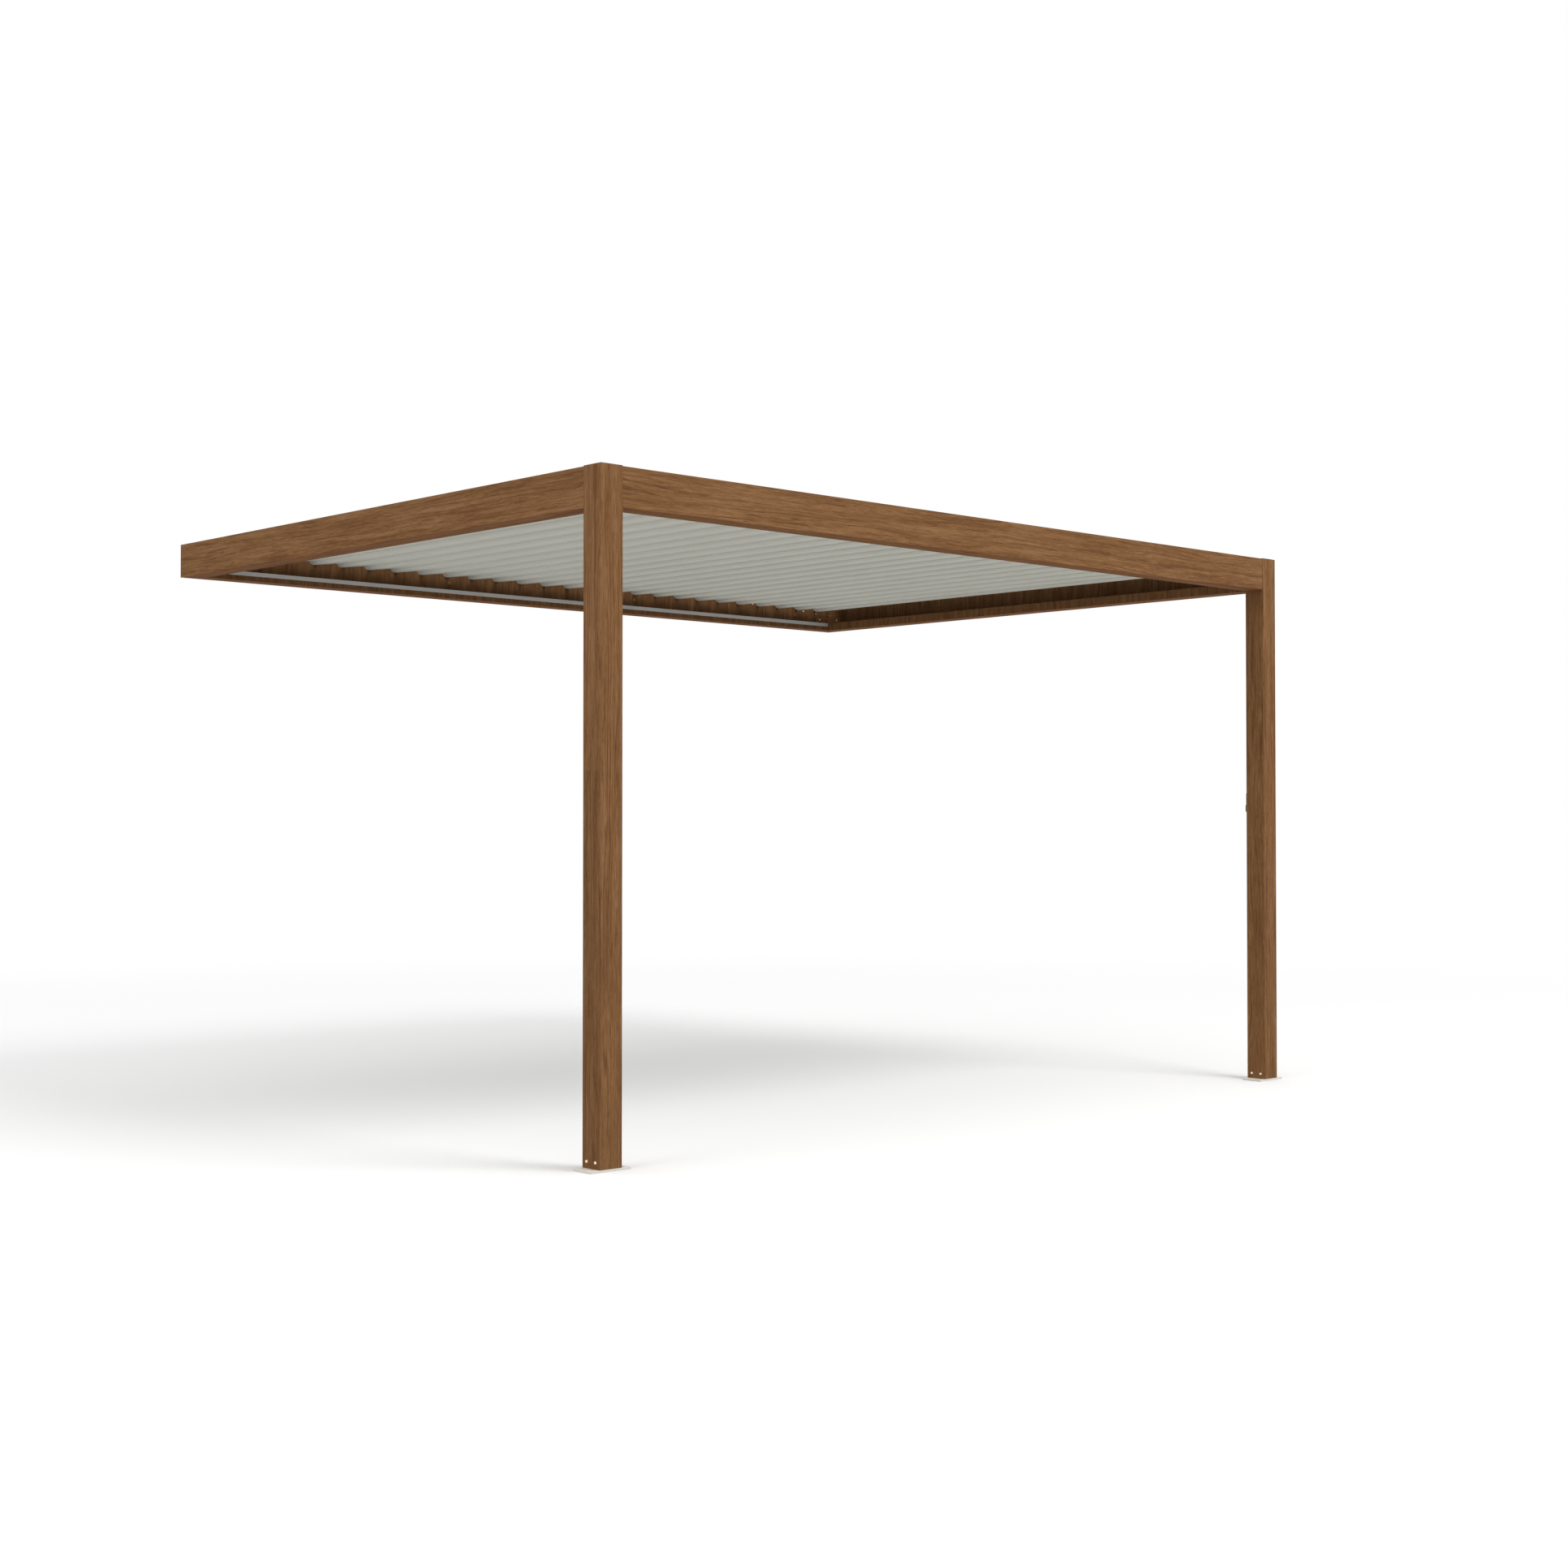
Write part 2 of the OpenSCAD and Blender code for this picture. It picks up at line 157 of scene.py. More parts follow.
surround = bpy.data.worlds.new("studio_surround")
bpy.context.scene.world = surround
surround.use_nodes = True
tree = surround.node_tree
tree.nodes.clear()
towards = put(tree, "ShaderNodeTexCoord")
skyward = put(tree, "ShaderNodeSeparateXYZ", Vector=towards.outputs["Generated"])
above = put(tree, "ShaderNodeMapRange", Value=skyward.outputs["Z"],
            _1=0.0, _2=0.7, _3=LEVEL_LIGHT, _4=OVERHEAD_LIGHT)
behind = put(tree, "ShaderNodeMapRange", Value=skyward.outputs["Y"],
             _1=0.0, _2=0.6, _3=1.0, _4=REAR_SHARE)
thrown = put(tree, "ShaderNodeMath", {"operation": "MULTIPLY"}, _0=above.outputs[0], _1=behind.outputs[0])
level = put(tree, "ShaderNodeMix", _0=looked_at(tree), _2=thrown.outputs[0], _3=1.0)
white = put(tree, "ShaderNodeBackground", Color=(1.0, 1.0, 1.0, 1.0), Strength=level.outputs[0])
put(tree, "ShaderNodeOutputWorld", Surface=white.outputs[0])

for name, place, size, watts in (("front_soft_box", (2.0, -10.5, 9.5), 6.0, 760.0),
                                 ("left_soft_box", (-13.0, -3.0, 5.0), 7.0, 300.0)):
    lamp = bpy.data.lights.new(name, "AREA")
    lamp.shape, lamp.size, lamp.energy = "DISK", size, watts
    lamp_object = bpy.data.objects.new(name, lamp)
    lamp_object.location = place
    lamp_object.rotation_euler = (Vector(LAMP_AIM) - Vector(place)).to_track_quat("-Z", "Y").to_euler()
    lamp_object.visible_camera = False
    bpy.context.collection.objects.link(lamp_object)

bpy.context.scene.view_settings.view_transform = "Standard"


# ---- Beams, posts and their small covers ------------------------------------
# Extruded aluminium in a matt polyester powder coat, with a walnut print sublimated into
# it from film. The grain runs along the outer faces of a member and lies across on the
# inner faces of the gutters. Corner brackets join the beams, and the covers are pushed on.
WALNUT_DARK, WALNUT_MID, WALNUT_LIGHT = "#704c2f", "#845e3c", "#936e4c"
STREAK_BROWN = "#52341f"
UNDERSIDE_SHADE_TINT = "#fbebdc"    # painted shade: the beams' downward faces are darkened and reddened
WALL_WEB_Y = -0.003         # inner face of the wall beam's web, under the blades
WEB_PAINTED_SHADE = 0.76            # painted shade: the print is darkened there more than on the beam's other inner faces
LEFT_POST_JOIN = -1.013     # height where two films meet on the left post
LOWER_FILM_DEPTH = 0.87     # below the join the print is a little deeper
UPPER_FILM_SHIFT = (3.7, 1.3, 0.9)    # metres along and across, to another stretch of the figure
GROWTH_LINE_MM = 19.0
WALNUT_PEEL_MM = 1.6        # really about 0.8 mm, drawn coarser so that it shows


def walnut_print(name, along, inward=None, inner_shade=1.0, web_y=None, join=None):
    """Sublimated walnut on one member: matt, flat and without open pores.

    along is its long axis, inward the way its gutter's inner faces look, inner_shade how far painted shade darkens
    them, and web_y the place of a web that painted shade darkens more still. join is the height where two films
    meet, and the way that face looks."""
    material, tree = new_material(name)
    where = put(tree, "ShaderNodeTexCoord")
    axes = put(tree, "ShaderNodeSeparateXYZ", Vector=where.outputs["Object"])

    def facing(direction):
        """1 on the faces that look that way, 0 on the others."""
        turned = put(tree, "ShaderNodeVectorMath", {"operation": "DOT_PRODUCT"},
                     _0=where.outputs["Normal"], _1=direction)
        return put(tree, "ShaderNodeMath", {"operation": "GREATER_THAN"},
                   _0=turned.outputs["Value"], _1=0.5).outputs[0]

    def marks(width_mm, length_mm, detail, at):
        """Soft marks of about this size, long along the film."""
        scale = (1000 / length_mm, 1000 / width_mm, 1000 / width_mm)
        stretched = put(tree, "ShaderNodeVectorMath", {"operation": "MULTIPLY"}, _0=at, _1=scale)
        return put(tree, "ShaderNodeTexNoise", Vector=stretched.outputs[0], Scale=1.0, Detail=detail,
                   Roughness=0.6).outputs["Fac"]

    # a place on the film: along its length first, then the two ways across
    length, width, thickness = {"X": "XYZ", "Y": "YXZ", "Z": "ZXY"}[along]
    film = put(tree, "ShaderNodeCombineXYZ", _0=axes.outputs[length], _1=axes.outputs[width],
               _2=axes.outputs[thickness]).outputs[0]
    print_depth_and_shade = 1.0
    if inward:
        crosswise = facing(inward)
        upright = put(tree, "ShaderNodeCombineXYZ", _0=axes.outputs["Z"], _1=axes.outputs["X"],
                      _2=axes.outputs["Y"])
        film = put(tree, "ShaderNodeMix", {"data_type": "VECTOR"}, _0=crosswise, _4=film,
                   _5=upright.outputs[0]).outputs[1]
        # painted shade: the inner faces are darkened
        print_depth_and_shade = put(tree, "ShaderNodeMapRange", Value=crosswise, _3=1.0, _4=inner_shade).outputs[0]
    # painted shade: the wall beam's web, under the blades, is darkened more still
    if web_y is not None:
        on_web = put(tree, "ShaderNodeMath", {"operation": "COMPARE"},
                     _0=axes.outputs["Y"], _1=web_y, _2=0.001)
        web_darkening = put(tree, "ShaderNodeMapRange", Value=on_web.outputs[0], _3=1.0, _4=WEB_PAINTED_SHADE)
        print_depth_and_shade = put(tree, "ShaderNodeMath", {"operation": "MULTIPLY"},
                    _0=print_depth_and_shade, _1=web_darkening.outputs[0]).outputs[0]
    if join:
        height, look = join
        face = facing(look)
        above = put(tree, "ShaderNodeMath", {"operation": "GREATER_THAN"}, _0=axes.outputs["Z"], _1=height)
        upper = put(tree, "ShaderNodeMath", {"operation": "MULTIPLY"}, _0=above.outputs[0], _1=face)
        lower = put(tree, "ShaderNodeMath", {"operation": "SUBTRACT"}, _0=face, _1=upper.outputs[0])
        shift = put(tree, "ShaderNodeVectorMath", {"operation": "SCALE"},
                    _0=UPPER_FILM_SHIFT, Scale=upper.outputs[0])
        film = put(tree, "ShaderNodeVectorMath", {"operation": "ADD"},
                   _0=film, _1=shift.outputs[0]).outputs[0]
        print_depth_and_shade = put(tree, "ShaderNodeMapRange", Value=lower.outputs[0],
                    _3=1.0, _4=LOWER_FILM_DEPTH).outputs[0]

    # the figure wanders 25 mm sideways over a metre, which closes some growth lines into arches
    wander = put(tree, "ShaderNodeMath", {"operation": "MULTIPLY_ADD"}, _0=marks(70.0, 950.0, 2.0, film),
                 _1=0.05, _2=-0.025)
    bend = put(tree, "ShaderNodeCombineXYZ", _1=wander.outputs[0], _2=wander.outputs[0])
    grain = put(tree, "ShaderNodeVectorMath", {"operation": "ADD"}, _0=film, _1=bend.outputs[0]).outputs[0]
    cut = put(tree, "ShaderNodeSeparateXYZ", Vector=grain)
    # thin dark growth lines 19 mm apart that fade in and out, bands 26 mm wide and fibres, drawn
    # 4 mm wide where the real ones are under 1 mm
    across = put(tree, "ShaderNodeMath", {"operation": "ADD"}, _0=cut.outputs[1], _1=cut.outputs[2])
    turns = put(tree, "ShaderNodeMath", {"operation": "MULTIPLY"},
                _0=across.outputs[0], _1=math.tau * 1000 / GROWTH_LINE_MM)
    ring = put(tree, "ShaderNodeMath", {"operation": "SINE"}, _0=turns.outputs[0])
    line = put(tree, "ShaderNodeMapRange", Value=ring.outputs[0], _1=0.2, _2=1.0, _3=0.0, _4=-1.0)
    shade = put(tree, "ShaderNodeMapRange", Value=marks(40.0, 380.0, 1.0, film),
                _1=0.38, _2=0.66, _3=0.04, _4=0.34)
    band = put(tree, "ShaderNodeMath", {"operation": "MULTIPLY_ADD"},
               _0=line.outputs[0], _1=shade.outputs[0], _2=marks(26.0, 480.0, 3.0, grain))
    fibre = put(tree, "ShaderNodeMath", {"operation": "MULTIPLY_ADD"}, _0=marks(4.0, 60.0, 3.0, grain),
                _1=1.1, _2=-0.55)
    figure = put(tree, "ShaderNodeMath", {"operation": "ADD"}, _0=band.outputs[0], _1=fibre.outputs[0])
    tone = put(tree, "ShaderNodeValToRGB", Fac=figure.outputs[0])
    ramp = tone.color_ramp
    ramp.elements[0].position, ramp.elements[0].color = 0.19, linear(WALNUT_DARK)
    ramp.elements[1].position, ramp.elements[1].color = 0.78, linear(WALNUT_LIGHT)
    ramp.elements.new(0.48).color = linear(WALNUT_MID)
    printed = tone.outputs[0]
    for width_mm, length_mm, strength in ((4.5, 170.0, 0.60), (4.0, 20.0, 0.40)):
        streak = put(tree, "ShaderNodeMapRange", Value=marks(width_mm, length_mm, 2.0, grain),
                     _1=0.59, _2=0.70, _3=0.0, _4=strength)
        printed = put(tree, "ShaderNodeMix", {"data_type": "RGBA"}, _0=streak.outputs[0],
                      _6=printed, _7=linear(STREAK_BROWN)).outputs[2]
    # darkens the print: the lower film's deeper print, and painted shade on the gutters' inner faces and web
    printed = put(tree, "ShaderNodeVectorMath", {"operation": "SCALE"}, _0=printed, Scale=print_depth_and_shade).outputs[0]
    if inward:
        # painted shade: the downward faces are darkened and reddened
        downward_shade = facing((0.0, 0.0, -1.0))
        printed = put(tree, "ShaderNodeMix", {"data_type": "RGBA", "blend_type": "MULTIPLY"},
                      _0=downward_shade, _6=printed, _7=linear(UNDERSIDE_SHADE_TINT)).outputs[2]

    peel = put(tree, "ShaderNodeTexNoise", Vector=where.outputs["Object"],
               Scale=1000 / WALNUT_PEEL_MM, Detail=2.0)
    relief = put(tree, "ShaderNodeBump", Strength=0.12, Distance=0.0002, Height=peel.outputs["Fac"])
    gloss = put(tree, "ShaderNodeMapRange", Value=fibre.outputs[0], _1=-0.2, _2=0.2, _3=0.80, _4=0.90)
    coat = put(tree, "ShaderNodeBsdfPrincipled", **{
        "Base Color": printed, "Roughness": gloss.outputs[0], "Normal": relief.outputs[0],
        "Specular IOR Level": 0.08})
    put(tree, "ShaderNodeOutputMaterial", Surface=coat.outputs[0])
    return material


def finish_node(node, material):
    """Gives a carried-over solid its finish."""
    slots = frame["nodes"][node].data.materials
    slots.clear()
    slots.append(material)


# painted shade: the gutters' inner faces are darkened, for the shade under the roof
for side, along, inward, inner_shade, web_y in (("wall", "X", (0.0, -1.0, 0.0), 0.70, WALL_WEB_Y),
                                                ("front", "X", (0.0, 1.0, 0.0), 0.76, None),
                                                ("left", "Y", (1.0, 0.0, 0.0), 0.76, None),
                                                ("right", "Y", (-1.0, 0.0, 0.0), 0.73, None)):
    beam_decor = walnut_print(f"walnut_decor_{side}_beam", along, inward, inner_shade, web_y)
    finish_node(f"{side}_beam", beam_decor)
left_post_decor = walnut_print("walnut_decor_left_post", "Z", join=(LEFT_POST_JOIN, (-1.0, 0.0, 0.0)))
finish_node("left_post", left_post_decor)
right_post_decor = walnut_print("walnut_decor_right_post", "Z")
for node in ("right_post", "switch_plate"):
    finish_node(node, right_post_decor)
cover_decor = walnut_print("walnut_decor_covers", "Y")
for node in ("left_end_cap", "right_end_cap", "post_caps", "corner_brackets"):
    finish_node(node, cover_decor)


# ---- Roof blades ------------------------------------------------------------
# Hollow aluminium extrusions in a pale grey-white powder coat. Past their end faces are
# bare turned steel pins, which turn in the bushings, and laser-cut steel cranks.
BLADE_WHITE, BARE_STEEL = "#d9d9d0", "#a9abae"
COAT_ROUGHNESS, STEEL_ROUGHNESS = 0.62, 0.34
STEEL_BEHIND_Y, STEEL_AHEAD_Y = -0.0598, -3.0277    # 0.2 mm past the end faces all is steel
COAT_CLOUDS_PER_M = 2.2     # about 450 mm each, where the coat's thickness wanders
BLADE_PEEL_MM = 1.8         # really about 0.8 mm, drawn coarser so that it shows

# the coat looks even and matt, with a fine peel, and the steel grey with a soft shine
blade_coat, tree = new_material("grey_white_powder_coat")
where = put(tree, "ShaderNodeTexCoord")
axes = put(tree, "ShaderNodeSeparateXYZ", Vector=where.outputs["Object"])
behind = put(tree, "ShaderNodeMath", {"operation": "GREATER_THAN"}, _0=axes.outputs["Y"], _1=STEEL_BEHIND_Y)
ahead = put(tree, "ShaderNodeMath", {"operation": "LESS_THAN"}, _0=axes.outputs["Y"], _1=STEEL_AHEAD_Y)
steel = put(tree, "ShaderNodeMath", {"operation": "ADD"}, _0=behind.outputs[0], _1=ahead.outputs[0])
cloud = put(tree, "ShaderNodeTexNoise", Vector=where.outputs["Object"], Scale=COAT_CLOUDS_PER_M, Detail=3.0)
even = put(tree, "ShaderNodeMapRange", Value=cloud.outputs["Fac"], _1=0.3, _2=0.7, _3=0.97, _4=1.02)
tint = put(tree, "ShaderNodeVectorMath", {"operation": "SCALE"},
           _0=linear(BLADE_WHITE)[:3], Scale=even.outputs[0])
colour = put(tree, "ShaderNodeMix", {"data_type": "RGBA"}, _0=steel.outputs[0],
             _6=tint.outputs[0], _7=linear(BARE_STEEL))
rough = put(tree, "ShaderNodeMapRange", Value=steel.outputs[0], _3=COAT_ROUGHNESS, _4=STEEL_ROUGHNESS)
peel = put(tree, "ShaderNodeTexNoise", Vector=where.outputs["Object"],
           Scale=1000 / BLADE_PEEL_MM, Detail=2.0)
relief = put(tree, "ShaderNodeBump", Strength=0.10, Distance=0.0002, Height=peel.outputs["Fac"])
coat = put(tree, "ShaderNodeBsdfPrincipled", **{
    "Base Color": colour.outputs[2], "Metallic": steel.outputs[0], "Roughness": rough.outputs[0],
    "Normal": relief.outputs[0], "Specular IOR Level": 0.1})
put(tree, "ShaderNodeOutputMaterial", Surface=coat.outputs[0])
for node in frame["nodes"]:
    if node.startswith("blade_"):
        finish_node(node, blade_coat)


# ---- Blade seals ------------------------------------------------------------
# Soft sloping lips of light grey TPE, extruded and pressed in under each blade's tail. They
# close down on the edge of the next blade's rain trough, so that no sky shows between. The
# last blade has none.
SEAL_OUTLINE_MM = [(0.0, 0.0), (0.5, -0.5), (12.6, -4.4), (13.4, -4.7), (14.6, -4.6), (15.2, -3.6),
                   (16.0, -0.8), (22.0, -0.8), (22.0, 0.0)]
SEAL_START_MM = 70.0                  # from the blade's pivot towards its tail
BLADE_BELOW_PIVOT_MM = 10.0           # its tail's underside
CLOSED_TILT = math.radians(7.8)
SEAL_ENDS_Y = (-0.0640, -3.0235)
TPE_SHADE, TPE_LIGHT = "#d0d0c7", "#d9d9d0"
BLOOM_PER_M = 60.0                    # blotches of about 17 mm

# extruded and unpainted, it looks dull and almost as pale as the blades
seal_tpe, tree = new_material("light_grey_tpe")
where = put(tree, "ShaderNodeTexCoord")
bloom = put(tree, "ShaderNodeTexNoise", Vector=where.outputs["Object"], Scale=BLOOM_PER_M, Detail=2.0)
tint = put(tree, "ShaderNodeMix", {"data_type": "RGBA"}, _0=bloom.outputs["Fac"],
           _6=linear(TPE_SHADE), _7=linear(TPE_LIGHT))
soft = put(tree, "ShaderNodeBsdfPrincipled", **{"Base Color": tint.outputs[2], "Roughness": 0.7})
put(tree, "ShaderNodeOutputMaterial", Surface=soft.outputs[0])

tilts = [joint for joint in frame["joints"] if joint["name"].startswith("blade_")]
tilts.sort(key=lambda joint: joint["pos_m"][0])
closed = Matrix.Rotation(-CLOSED_TILT, 3, "Y")
for joint in tilts[:-1]:
    pivot = joint["pos_m"]
    shape = bmesh.new()
    ends = []
    for y in SEAL_ENDS_Y:
        ring = []
        for u, w in SEAL_OUTLINE_MM:
            at = closed @ Vector((SEAL_START_MM + u, 0.0, w - BLADE_BELOW_PIVOT_MM)) / 1000
            ring.append(shape.verts.new((pivot[0] + at.x, y, pivot[2] + at.z)))
        ends.append(ring)
    for k in range(len(SEAL_OUTLINE_MM)):
        shape.faces.new((ends[0][k - 1], ends[0][k], ends[1][k], ends[1][k - 1]))
    shape.faces.new(ends[0])
    shape.faces.new(ends[1])
    bmesh.ops.recalc_face_normals(shape, faces=shape.faces)
    mesh = bpy.data.meshes.new(f"{joint['child']}_seal")
    shape.to_mesh(mesh)
    shape.free()
    mesh.materials.append(seal_tpe)
    seal = bpy.data.objects.new(mesh.name, mesh)
    bpy.context.collection.objects.link(seal)
    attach(seal, joint["child"])


# ---- Light strip ------------------------------------------------------------
# The extruded opal polycarbonate cover of the light line, along the wall beam's inner lip.
# Unlit, it looks a milky grey.
OPAL_SHADE, OPAL_LIGHT = "#b3b3b4", "#bdbbba"
MILK_CLOUDS_PER_M = 9.0     # about 110 mm each

# extruded smooth, so it has a soft sheen
opal_cover, tree = new_material("opal_polycarbonate")
where = put(tree, "ShaderNodeTexCoord")
milk = put(tree, "ShaderNodeTexNoise", Vector=where.outputs["Object"], Scale=MILK_CLOUDS_PER_M, Detail=2.0)
tint = put(tree, "ShaderNodeMix", {"data_type": "RGBA"}, _0=milk.outputs["Fac"],
           _6=linear(OPAL_SHADE), _7=linear(OPAL_LIGHT))
cover = put(tree, "ShaderNodeBsdfPrincipled", **{
    "Base Color": tint.outputs[2], "Roughness": 0.38, "IOR": 1.58})
put(tree, "ShaderNodeOutputMaterial", Surface=cover.outputs[0])
finish_node("light_strip", opal_cover)


# ---- Feet -------------------------------------------------------------------
# Steel plates with a welded spigot that stands in the post, powder coated in cream and
# bolted to the terrace.
CREAM_SHADE, CREAM_LIGHT = "#dfdbd0", "#e9e5db"
DUST_PER_M = 34.0           # faint dust in patches of about 30 mm
FOOT_PEEL_MM = 1.8          # really about 0.8 mm, drawn coarser so that it shows

# the coat has a soft sheen and a fine peel
foot_coat, tree = new_material("cream_powder_coat")
where = put(tree, "ShaderNodeTexCoord")
dust = put(tree, "ShaderNodeTexNoise", Vector=where.outputs["Object"], Scale=DUST_PER_M, Detail=4.0)
tint = put(tree, "ShaderNodeMix", {"data_type": "RGBA"}, _0=dust.outputs["Fac"],
           _6=linear(CREAM_SHADE), _7=linear(CREAM_LIGHT))
peel = put(tree, "ShaderNodeTexNoise", Vector=where.outputs["Object"],
           Scale=1000 / FOOT_PEEL_MM, Detail=2.0)
relief = put(tree, "ShaderNodeBump", Strength=0.12, Distance=0.0002, Height=peel.outputs["Fac"])
coat = put(tree, "ShaderNodeBsdfPrincipled", **{
    "Base Color": tint.outputs[2], "Roughness": 0.5, "Normal": relief.outputs[0]})
put(tree, "ShaderNodeOutputMaterial", Surface=coat.outputs[0])
for node in ("left_foot", "right_foot"):
    finish_node(node, foot_coat)


# ---- Bushings ---------------------------------------------------------------
# Moulded dark brown polyamide cups that the blades' pins turn in, dry and self-greasing,
# pressed into the beams' webs.
BUSHING_BROWN = "#4c3624"
BUSHING_GRAIN_MM = 0.9      # really about 0.2 mm, drawn coarser so that it shows

# the mould's spark-eroded grain makes it dull
bushing_nylon, tree = new_material("dark_brown_polyamide")
where = put(tree, "ShaderNodeTexCoord")
spark = put(tree, "ShaderNodeTexNoise", Vector=where.outputs["Object"],
            Scale=1000 / BUSHING_GRAIN_MM, Detail=1.0)
relief = put(tree, "ShaderNodeBump", Strength=0.15, Distance=0.0001, Height=spark.outputs["Fac"])
moulded = put(tree, "ShaderNodeBsdfPrincipled", **{
    "Base Color": linear(BUSHING_BROWN), "Roughness": 0.50, "IOR": 1.53, "Normal": relief.outputs[0]})
put(tree, "ShaderNodeOutputMaterial", Surface=moulded.outputs[0])
for node in ("wall_bushings", "front_bushings"):
    finish_node(node, bushing_nylon)


# ---- Drive bar --------------------------------------------------------------
# A flat bar of extruded aluminium, left as the mill made it, that joins the blades' cranks
# so that they turn together.
MILL_SHADE, MILL_LIGHT = "#c3c5c8", "#d6d7d9"
DIE_LINES_PER_M = (4.0, 900.0, 900.0)    # along the bar and across: drawn 1 mm apart, really under 0.1 mm

# the lines that the die draws along it give it a streaky shine
mill_finish, tree = new_material("mill_finish_aluminium")
where = put(tree, "ShaderNodeTexCoord")
lines_at = put(tree, "ShaderNodeVectorMath", {"operation": "MULTIPLY"}, _0=where.outputs["Object"],
               _1=DIE_LINES_PER_M)
lines = put(tree, "ShaderNodeTexNoise", Vector=lines_at.outputs[0], Scale=1.0, Detail=3.0)
rough = put(tree, "ShaderNodeMapRange", Value=lines.outputs["Fac"], _3=0.30, _4=0.46)
tint = put(tree, "ShaderNodeMix", {"data_type": "RGBA"}, _0=lines.outputs["Fac"],
           _6=linear(MILL_SHADE), _7=linear(MILL_LIGHT))
bar = put(tree, "ShaderNodeBsdfPrincipled", **{
    "Base Color": tint.outputs[2], "Metallic": 1.0, "Roughness": rough.outputs[0]})
put(tree, "ShaderNodeOutputMaterial", Surface=bar.outputs[0])
finish_node("drive_bar", mill_finish)


# ---- Control knob -----------------------------------------------------------
# The knob of the small control on the back of the right post, moulded in light grey ABS
# and set in its plate.
KNOB_GREY = "#8d8e85"
KNOB_GRAIN_MM = 1.0         # really about 0.2 mm, drawn coarser so that it shows

# the mould's spark-eroded grain makes it satin
knob_abs, tree = new_material("light_grey_abs")
where = put(tree, "ShaderNodeTexCoord")
spark = put(tree, "ShaderNodeTexNoise", Vector=where.outputs["Object"],
            Scale=1000 / KNOB_GRAIN_MM, Detail=1.0)
relief = put(tree, "ShaderNodeBump", Strength=0.2, Distance=0.0001, Height=spark.outputs["Fac"])
moulded = put(tree, "ShaderNodeBsdfPrincipled", **{
    "Base Color": linear(KNOB_GREY), "Roughness": 0.42, "Normal": relief.outputs[0]})
put(tree, "ShaderNodeOutputMaterial", Surface=moulded.outputs[0])
finish_node("switch_knob", knob_abs)


# ---- Screws and anchors -----------------------------------------------------
# Stainless button-head screws with a hex socket, turned and passivated. They hold the feet
# in the posts, the corner brackets and the drive's cable. Snap-on caps in the walnut coat
# hide the wall anchors.
STAINLESS_WARM = "#f0e7d8"
TURNING_MM = 1.2                         # really about 0.1 mm, drawn coarser so that it shows
M8_HEAD_MM = (13.0, 4.0, 5.0)            # width, height and width of the hex socket
M5_HEAD_MM = (9.0, 3.0, 3.0)
ANCHOR_CAP_MM = (18.0, 2.5, 0.0)
FOOT_SCREW_RISE, FOOT_SCREW_HALF_GAP = 0.024, 0.025    # above the post's end, and to each side
BRACKET_SHEET, BRACKET_LEG_MIDDLE = 0.003, 0.072       # its thickness, and a leg's middle from the corner
CABLE_SCREWS = ((1.467, 0.051), (1.865, 0.035), (1.964, 0.028))    # across and up, on the wall beam's web

# passivated steel glints bright and a little warm
stainless, tree = new_material("stainless_steel_a2")
where = put(tree, "ShaderNodeTexCoord")
turned = put(tree, "ShaderNodeTexNoise", Vector=where.outputs["Object"], Scale=1000 / TURNING_MM, Detail=2.0)
rough = put(tree, "ShaderNodeMapRange", Value=turned.outputs["Fac"], _3=0.22, _4=0.34)
steel_skin = put(tree, "ShaderNodeBsdfPrincipled", **{
    "Base Color": linear(STAINLESS_WARM), "Metallic": 1.0, "Roughness": rough.outputs[0]})
put(tree, "ShaderNodeOutputMaterial", Surface=steel_skin.outputs[0])


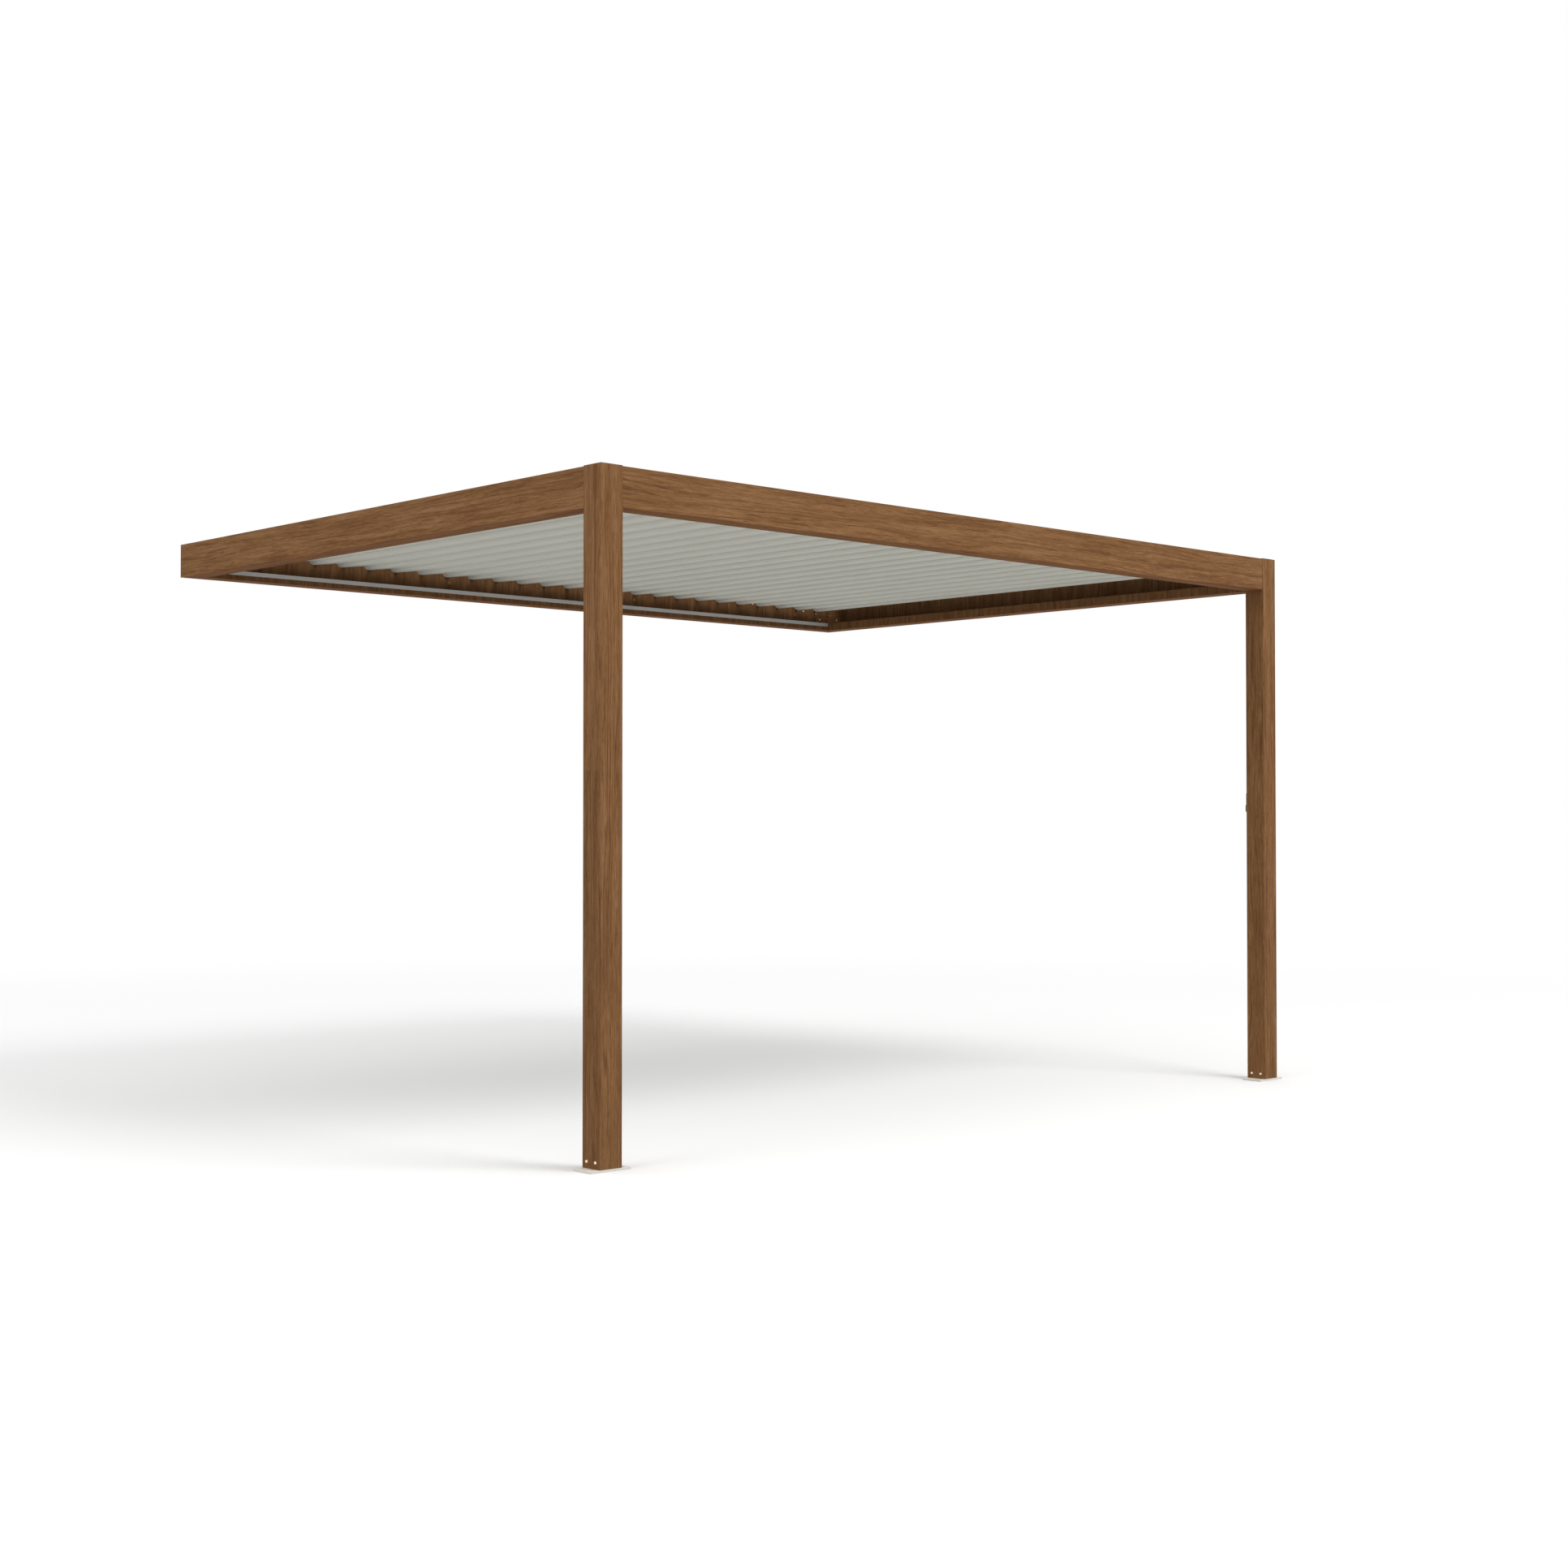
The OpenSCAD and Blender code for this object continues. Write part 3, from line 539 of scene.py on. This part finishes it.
def round_head(name, seat, look, size_mm, finish):
    """A domed head with its flat underside at seat and its crown towards look."""
    width, height, socket = [size / 1000 for size in size_mm]
    sides = 24
    angles = [math.tau * k / sides for k in range(sides)]
    # the dome's rings, as shares of its radius and height, then the hex socket's rim and floor
    dome = ((1.0, 0.0), (1.0, 0.12), (0.93, 0.45), (0.78, 0.75), (0.60, 0.93), (0.46, 1.0))
    rings = [([wide * width / 2] * sides, high * height) for wide, high in dome]
    if socket:
        flats = [socket / 2 / math.cos(a % (math.pi / 3) - math.pi / 6) for a in angles]
        rings += [(flats, height), (flats, 0.35 * height)]
    shape = bmesh.new()
    loops = []
    for reaches, z in rings:
        loops.append([shape.verts.new((reach * math.cos(a), reach * math.sin(a), z))
                      for reach, a in zip(reaches, angles)])
    for low, high in zip(loops, loops[1:]):
        for k in range(sides):
            shape.faces.new((low[k - 1], low[k], high[k], high[k - 1]))
    shape.faces.new(loops[0])
    shape.faces.new(loops[-1])
    bmesh.ops.recalc_face_normals(shape, faces=shape.faces)
    turn = Vector((0, 0, 1)).rotation_difference(Vector(look)).to_matrix().to_4x4()
    bmesh.ops.transform(shape, matrix=Matrix.Translation(seat) @ turn, verts=shape.verts)
    mesh = bpy.data.meshes.new(name)
    shape.to_mesh(mesh)
    shape.free()
    mesh.materials.append(finish)
    head = bpy.data.objects.new(name, mesh)
    bpy.context.collection.objects.link(head)
    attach(head, "frame")


for side_name in ("left", "right"):
    low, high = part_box(f"{side_name}_post")
    middle = (low[1] + high[1]) / 2
    for face_name, x, out in (("west", low[0], -1), ("east", high[0], 1)):
        for k, y in ((1, middle - FOOT_SCREW_HALF_GAP), (2, middle + FOOT_SCREW_HALF_GAP)):
            seat = (x, y, low[2] + FOOT_SCREW_RISE)
            round_head(f"{side_name}_foot_screw_{face_name}_{k}", seat, (out, 0, 0),
                       M8_HEAD_MM, stainless)

low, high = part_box("corner_brackets")
level = (low[2] + high[2]) / 2
for side_name, web, into in (("left", low[0], 1), ("right", high[0], -1)):
    for end_name, wall, out in (("front", low[1], 1), ("wall", high[1], -1)):
        for leg_name, off_web, off_wall, look in (
                ("long", BRACKET_LEG_MIDDLE, BRACKET_SHEET, (0, out, 0)),
                ("side", BRACKET_SHEET, BRACKET_LEG_MIDDLE, (into, 0, 0))):
            seat = (web + into * off_web, wall + out * off_wall, level)
            round_head(f"{side_name}_{end_name}_bracket_screw_{leg_name}", seat, look,
                       M8_HEAD_MM, stainless)

for k, (x, z) in enumerate(CABLE_SCREWS, 1):
    round_head(f"cable_screw_{k}", (x, WALL_WEB_Y, z), (0, -1, 0), M5_HEAD_MM, stainless)

anchors = {m["name"]: m for m in frame["record"]["mounts"]}
cover_coat = walnut_print("walnut_decor_anchor_caps", "Z")
for row_name in ("wall_fixings_outer", "wall_fixings_inner"):
    mount = anchors[row_name]
    half_x, half_z = mount["dims"]["spacing_x_mm"] / 2000, mount["dims"]["spacing_y_mm"] / 2000
    for k, (sx, sz) in enumerate(((-1, -1), (-1, 1), (1, -1), (1, 1)), 1):
        seat = (mount["pos_m"][0] + sx * half_x, WALL_WEB_Y, mount["pos_m"][2] + sz * half_z)
        round_head(f"{row_name}_cap_{k}", seat, (0, -1, 0), ANCHOR_CAP_MM, cover_coat)
